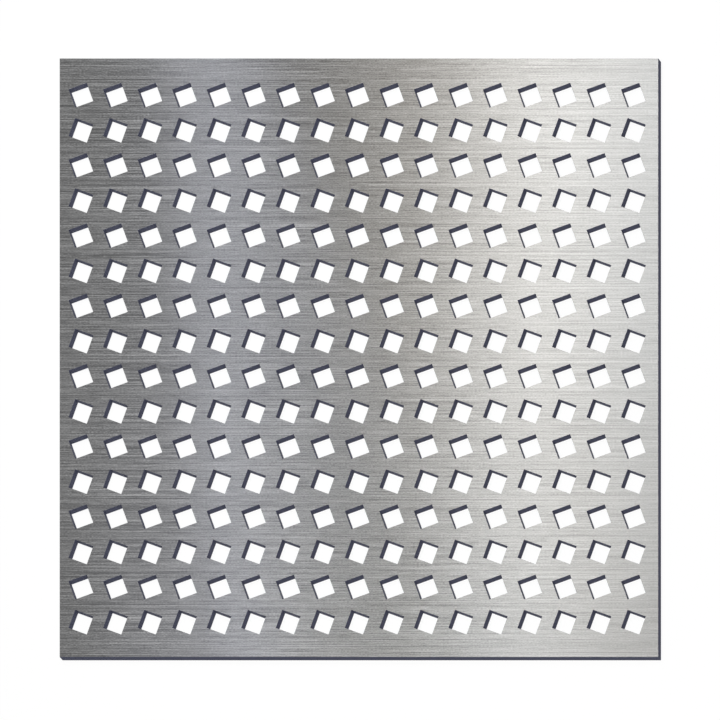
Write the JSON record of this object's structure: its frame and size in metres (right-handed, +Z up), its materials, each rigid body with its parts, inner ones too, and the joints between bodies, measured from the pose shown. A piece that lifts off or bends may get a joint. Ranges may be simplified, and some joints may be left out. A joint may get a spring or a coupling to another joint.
{
  "type": "perforated steel plate",
  "caption": "Flat square brushed steel plate, cut through by rows of square holes that turn one way and the other by rows, for screens, covers, shelves and guards.",
  "frame": {"origin": "centre of the plate's outline, on its underside", "axes": "+Z up, square to the plate; +X along the rows of holes and the brush lines; +Y towards the edge next to the last row, whose holes turn anticlockwise seen from above"},
  "size_m": [0.6, 0.6, 0.004],
  "materials": {
    "brushed_steel": "both faces brushed in straight lines along X, cut edges and hole walls dark slate grey and dull"
  },
  "bodies": {
    "root": {"perforated_plate": "brushed_steel"}
  },
  "joints": []
}
